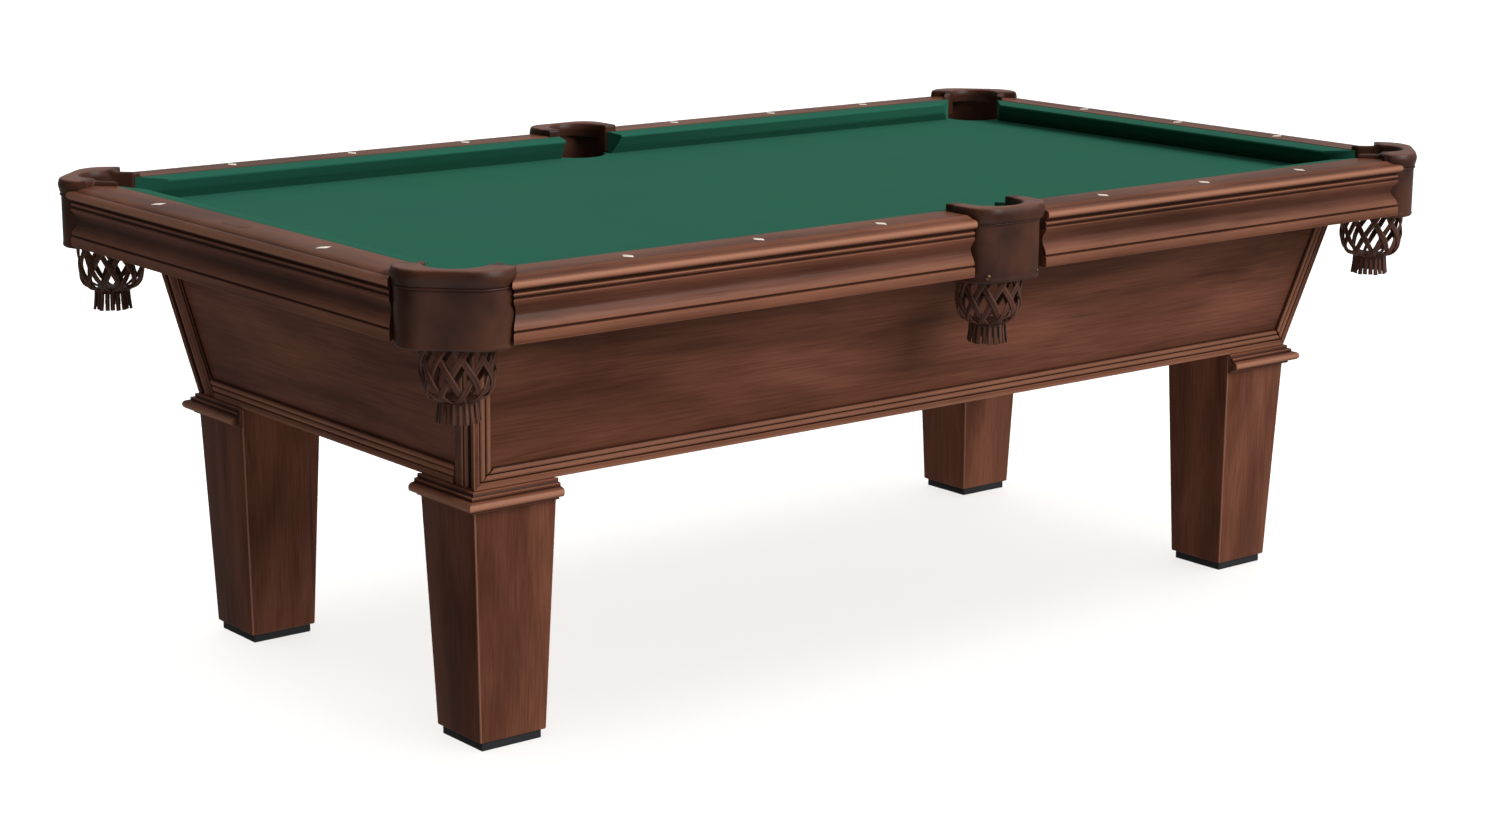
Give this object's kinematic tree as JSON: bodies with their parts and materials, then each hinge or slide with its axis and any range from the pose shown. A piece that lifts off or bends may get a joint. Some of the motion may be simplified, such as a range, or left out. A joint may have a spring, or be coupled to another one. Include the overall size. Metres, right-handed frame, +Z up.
{
  "type": "pool table",
  "caption": "Pool table with a cloth-covered slate bed, moulded wooden rails, leather drop pockets with woven nets, a flared cabinet and square tapered legs on levelling feet.",
  "frame": {"origin": "on the floor, under the middle of the playing area", "axes": "+X along the table towards the end without the inlay, +Y across it, +Z up"},
  "size_m": [2.216, 1.304, 0.804],
  "materials": {
    "stained_wood": "red-brown stain under satin lacquer",
    "framing_wood": "planed, unfinished",
    "inlay_wood": "gloss lacquer",
    "leather": "dark brown, smooth and waxed",
    "billiard_cloth": "green worsted, matt",
    "slate": "ground flat",
    "foot_rubber": "matt black"
  },
  "bodies": {
    "table": {"pocket_collar_front_left": "leather", "pocket_net_front_left": "leather", "pocket_collar_front_right": "leather", "pocket_net_front_right": "leather", "pocket_collar_back_left": "leather", "pocket_net_back_left": "leather", "pocket_collar_back_right": "leather", "pocket_net_back_right": "leather", "pocket_collar_front_middle": "leather", "pocket_net_front_middle": "leather", "pocket_collar_back_middle": "leather", "pocket_net_back_middle": "leather", "rail_front_left": "stained_wood", "cushion_front_left": "billiard_cloth", "rail_front_right": "stained_wood", "cushion_front_right": "billiard_cloth", "rail_back_left": "stained_wood", "cushion_back_left": "billiard_cloth", "rail_back_right": "stained_wood", "cushion_back_right": "billiard_cloth", "rail_left": "stained_wood", "cushion_left": "billiard_cloth", "rail_right": "stained_wood", "cushion_right": "billiard_cloth", "name_inlay": "inlay_wood", "slate_left": "slate", "slate_middle": "slate", "slate_right": "slate", "bed_cloth": "billiard_cloth", "cabinet_side_front": "stained_wood", "cabinet_side_back": "stained_wood", "cabinet_end_left": "stained_wood", "cabinet_end_right": "stained_wood", "corner_trim_front_left": "stained_wood", "corner_trim_front_right": "stained_wood", "corner_trim_back_left": "stained_wood", "corner_trim_back_right": "stained_wood", "base_moulding_front": "stained_wood", "base_moulding_back": "stained_wood", "base_moulding_left": "stained_wood", "base_moulding_right": "stained_wood", "cross_beam_left": "framing_wood", "joint_slat_left": "framing_wood", "cross_beam_right": "framing_wood", "joint_slat_right": "framing_wood", "centre_beam": "framing_wood", "leg_front_left": "stained_wood", "leg_cap_front_left": "stained_wood", "leg_front_right": "stained_wood", "leg_cap_front_right": "stained_wood", "leg_back_left": "stained_wood", "leg_cap_back_left": "stained_wood", "leg_back_right": "stained_wood", "leg_cap_back_right": "stained_wood"},
    "foot_front_left": {"levelling_foot_front_left": "foot_rubber"},
    "foot_front_right": {"levelling_foot_front_right": "foot_rubber"},
    "foot_back_left": {"levelling_foot_back_left": "foot_rubber"},
    "foot_back_right": {"levelling_foot_back_right": "foot_rubber"}
  },
  "joints": [
    {"name": "foot_front_left_screw", "type": "slide", "parent": "table", "child": "foot_front_left", "axis": [0, 0, -1], "range_m": [0, 0.012]},
    {"name": "foot_front_right_screw", "type": "slide", "parent": "table", "child": "foot_front_right", "axis": [0, 0, -1], "range_m": [0, 0.012]},
    {"name": "foot_back_left_screw", "type": "slide", "parent": "table", "child": "foot_back_left", "axis": [0, 0, -1], "range_m": [0, 0.012]},
    {"name": "foot_back_right_screw", "type": "slide", "parent": "table", "child": "foot_back_right", "axis": [0, 0, -1], "range_m": [0, 0.012]}
  ]
}
